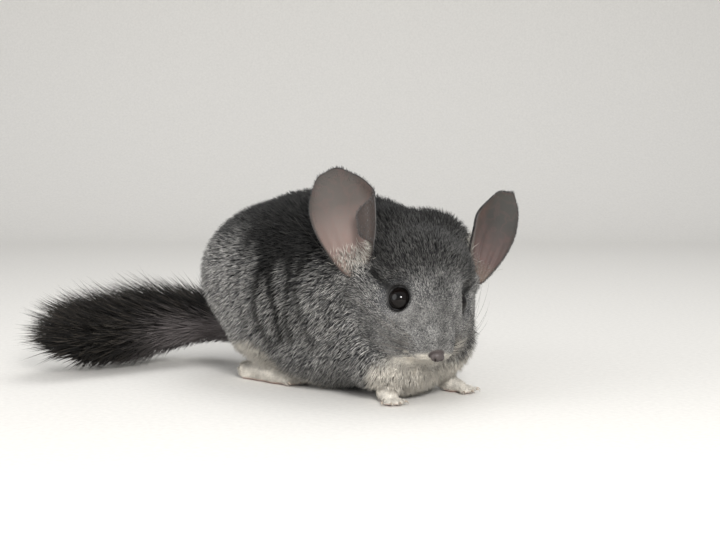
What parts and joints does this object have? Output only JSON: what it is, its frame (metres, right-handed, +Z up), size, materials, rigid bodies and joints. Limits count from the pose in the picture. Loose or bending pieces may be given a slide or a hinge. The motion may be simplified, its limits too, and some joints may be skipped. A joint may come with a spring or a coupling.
{
  "type": "chinchilla",
  "caption": "Grey chinchilla crouched on all fours, head bowed and turned to its right, large cupped ears, bristly dark tail curled to one side.",
  "frame": {"origin": "on the floor, on the flat under the belly, below the middle of the trunk", "axes": "+X forward along the body, +Y to the animal's left, +Z up from the floor"},
  "size_m": [0.2551, 0.1854, 0.1239],
  "materials": {
    "grey_coat": "dense soft fur, slate grey with pale ticking",
    "pale_coat": "short pale fur on paws and feet",
    "ear_skin": "thin, nearly bare skin with fine down",
    "eye": "wet and glossy, nearly black",
    "tail_bristles": "long stiff dark bristles"
  },
  "bodies": {
    "root": {"head": "grey_coat", "neck": "grey_coat", "torso": "grey_coat", "hindleg_left": "grey_coat", "hindleg_right": "grey_coat", "foreleg_left": "pale_coat", "foreleg_right": "pale_coat", "hindfoot_left": "pale_coat", "hindfoot_right": "pale_coat", "ear_left": "ear_skin", "ear_right": "ear_skin", "eye_left": "eye", "eye_right": "eye", "tail_root": "tail_bristles", "tail_middle": "tail_bristles", "tail_tip": "tail_bristles"}
  },
  "joints": []
}
